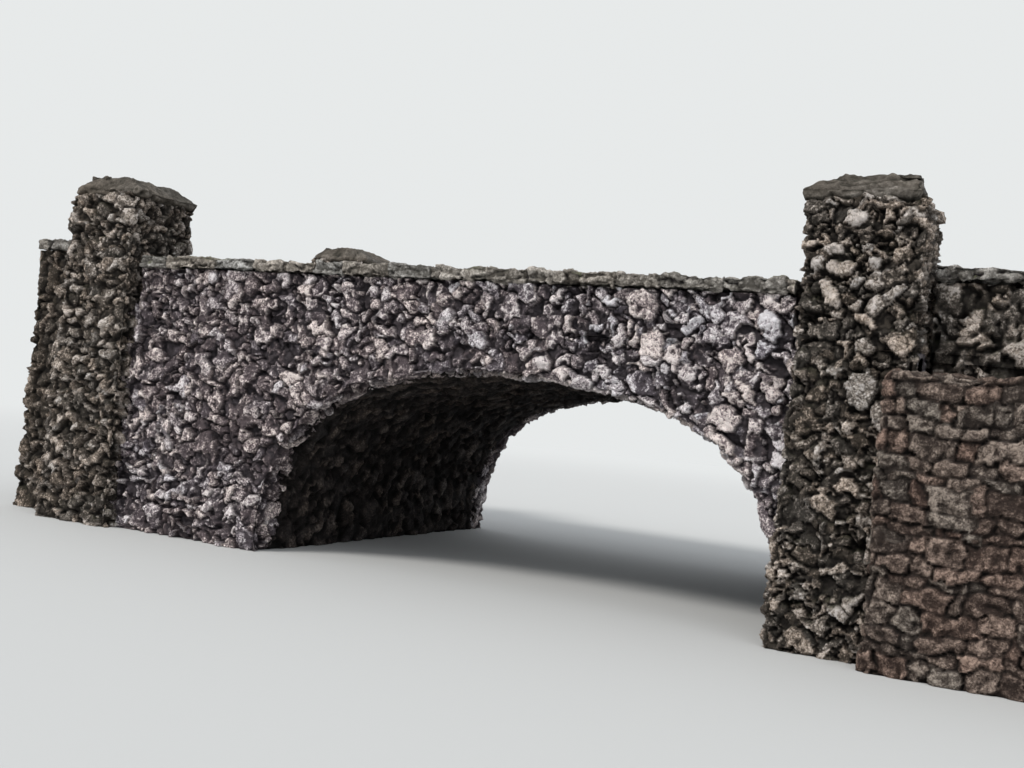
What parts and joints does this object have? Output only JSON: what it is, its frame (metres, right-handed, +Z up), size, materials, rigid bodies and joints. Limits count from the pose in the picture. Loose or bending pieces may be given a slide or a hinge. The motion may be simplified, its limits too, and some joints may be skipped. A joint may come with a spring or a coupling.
{
  "type": "stone arch footbridge",
  "caption": "Low rustic arch bridge of knobbly rubble stone, with slab copings on its parapets, hipped pier caps and wing walls, carrying a road or path over a stream.",
  "frame": {"origin": "middle of the passage at floor level, half-way through the bridge's depth", "axes": "+X along the road to the side with the nearer piers, +Y through the arch away from the viewer, +Z up"},
  "size_m": [16.4, 7.6, 4.93],
  "materials": {
    "wall_rubble": "rough knobbly lumps, dark joints",
    "barrel_rubble": "rough, dark, damp",
    "pier_rubble": "rough knobbly lumps, brown",
    "coping_stone": "rough slabs, mossy",
    "cap_mortar": "rough brown mortar",
    "cap_stone": "split slab",
    "low_wall_stone": "rough flat stones",
    "core_fill": "rough rubble and earth",
    "road_stone": "rough worn surface"
  },
  "bodies": {
    "root": {"abutment_left": "barrel_rubble", "abutment_right": "barrel_rubble", "arch_barrel": "barrel_rubble", "arch_ring_front": "wall_rubble", "arch_ring_back": "wall_rubble", "front_wall_left": "wall_rubble", "front_wall_right": "wall_rubble", "back_wall_left": "wall_rubble", "back_wall_right": "wall_rubble", "wing_front_left": "wall_rubble", "wing_front_right": "wall_rubble", "wing_back_left": "wall_rubble", "wing_back_right": "wall_rubble", "core_left": "core_fill", "core_right": "core_fill", "road": "road_stone", "parapet_front": "wall_rubble", "parapet_back": "wall_rubble", "wing_parapet_front_left": "wall_rubble", "wing_parapet_front_right": "wall_rubble", "wing_parapet_back_left": "wall_rubble", "wing_parapet_back_right": "wall_rubble", "coping_front_left": "coping_stone", "coping_front_mid": "coping_stone", "coping_front_right": "coping_stone", "coping_back_left": "coping_stone", "coping_back_mid": "coping_stone", "coping_back_right": "coping_stone", "wing_coping_front_left": "coping_stone", "wing_coping_front_right": "coping_stone", "wing_coping_back_left": "coping_stone", "wing_coping_back_right": "coping_stone", "pier_front_left": "pier_rubble", "pier_front_right": "pier_rubble", "pier_back_left": "pier_rubble", "pier_back_right": "pier_rubble", "cap_front_left": "cap_mortar", "cap_front_right": "cap_mortar", "cap_back_left": "cap_mortar", "cap_back_right": "cap_mortar", "cap_stone_front_left": "cap_stone", "cap_stone_front_right": "cap_stone", "cap_stone_back_left": "cap_stone", "cap_stone_back_right": "cap_stone", "low_wall_front": "low_wall_stone", "low_wall_back": "low_wall_stone"}
  },
  "joints": []
}
